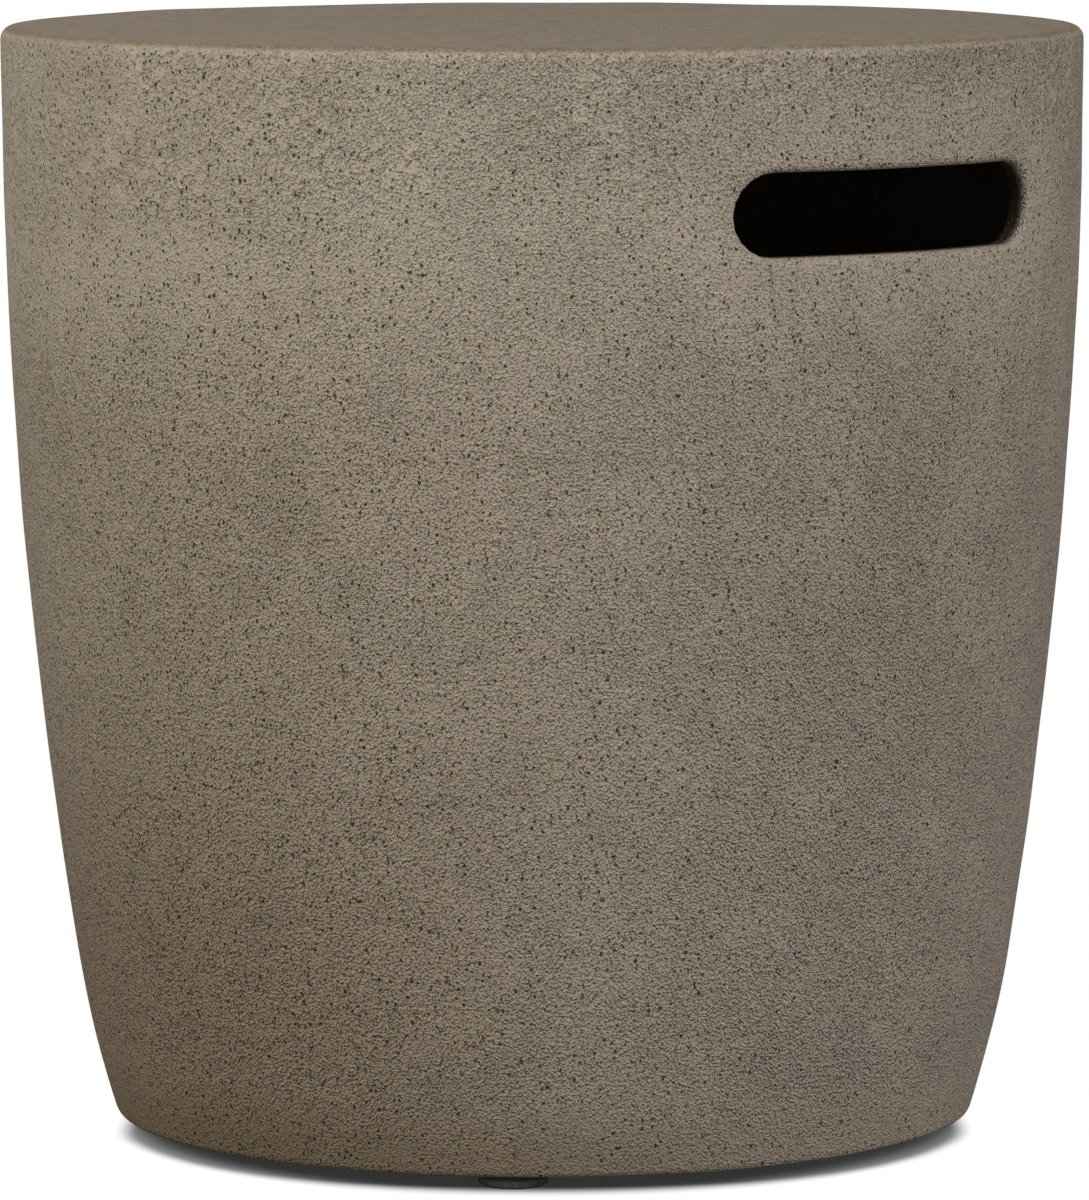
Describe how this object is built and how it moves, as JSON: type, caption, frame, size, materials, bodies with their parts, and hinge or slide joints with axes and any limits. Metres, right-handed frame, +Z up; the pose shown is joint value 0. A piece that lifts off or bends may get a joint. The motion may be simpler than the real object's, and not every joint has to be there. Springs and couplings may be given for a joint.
{
  "type": "propane tank cover table",
  "caption": "Round tapering concrete side table, open below to cover a standing gas cylinder, with slotted hand holes, a rear hose notch and screw-in levelling feet.",
  "frame": {"origin": "floor point under the middle of the table top, level with the soles, feet screwed in", "axes": "+Z up, +X through one hand hole and -X through the other, +Y to the rear, where the hose notch is"},
  "size_m": [0.509, 0.509, 0.5215],
  "materials": {
    "concrete": "brown-grey glass-fibre concrete, pitted cast wall, smoother trowelled top",
    "insert_brass": "machined, dull",
    "stud_steel": "bright zinc plated",
    "glide_nylon": "moulded grey nylon",
    "sole_rubber": "moulded dark rubber"
  },
  "bodies": {
    "shell": {"cover_shell": "concrete", "insert_rear_right": "insert_brass", "insert_rear_left": "insert_brass", "insert_front_left": "insert_brass", "insert_front_right": "insert_brass"},
    "foot_rear_right": {"glide_rear_right": "glide_nylon", "sole_rear_right": "sole_rubber"},
    "screw_rear_right": {"stud_rear_right": "stud_steel"},
    "foot_rear_left": {"glide_rear_left": "glide_nylon", "sole_rear_left": "sole_rubber"},
    "screw_rear_left": {"stud_rear_left": "stud_steel"},
    "foot_front_left": {"glide_front_left": "glide_nylon", "sole_front_left": "sole_rubber"},
    "screw_front_left": {"stud_front_left": "stud_steel"},
    "foot_front_right": {"glide_front_right": "glide_nylon", "sole_front_right": "sole_rubber"},
    "screw_front_right": {"stud_front_right": "stud_steel"}
  },
  "joints": [
    {"name": "foot_travel_rear_right", "type": "slide", "parent": "shell", "child": "foot_rear_right", "axis": [0, 0, -1], "range_m": [0, 0.01]},
    {"name": "stud_turn_rear_right", "type": "hinge", "parent": "foot_rear_right", "child": "screw_rear_right", "pos_m": [0.12304, 0.12304, 0.01], "axis": [0, 0, -1], "range_deg": [0, 2880]},
    {"name": "foot_travel_rear_left", "type": "slide", "parent": "shell", "child": "foot_rear_left", "axis": [0, 0, -1], "range_m": [0, 0.01]},
    {"name": "stud_turn_rear_left", "type": "hinge", "parent": "foot_rear_left", "child": "screw_rear_left", "pos_m": [-0.12304, 0.12304, 0.01], "axis": [0, 0, -1], "range_deg": [0, 2880]},
    {"name": "foot_travel_front_left", "type": "slide", "parent": "shell", "child": "foot_front_left", "axis": [0, 0, -1], "range_m": [0, 0.01]},
    {"name": "stud_turn_front_left", "type": "hinge", "parent": "foot_front_left", "child": "screw_front_left", "pos_m": [-0.12304, -0.12304, 0.01], "axis": [0, 0, -1], "range_deg": [0, 2880]},
    {"name": "foot_travel_front_right", "type": "slide", "parent": "shell", "child": "foot_front_right", "axis": [0, 0, -1], "range_m": [0, 0.01]},
    {"name": "stud_turn_front_right", "type": "hinge", "parent": "foot_front_right", "child": "screw_front_right", "pos_m": [0.12304, -0.12304, 0.01], "axis": [0, 0, -1], "range_deg": [0, 2880]}
  ],
  "couplings": [
    {"joint": "stud_turn_rear_right", "follows": "foot_travel_rear_right", "rad_per_m": 5026.5},
    {"joint": "stud_turn_rear_left", "follows": "foot_travel_rear_left", "rad_per_m": 5026.5},
    {"joint": "stud_turn_front_left", "follows": "foot_travel_front_left", "rad_per_m": 5026.5},
    {"joint": "stud_turn_front_right", "follows": "foot_travel_front_right", "rad_per_m": 5026.5}
  ]
}
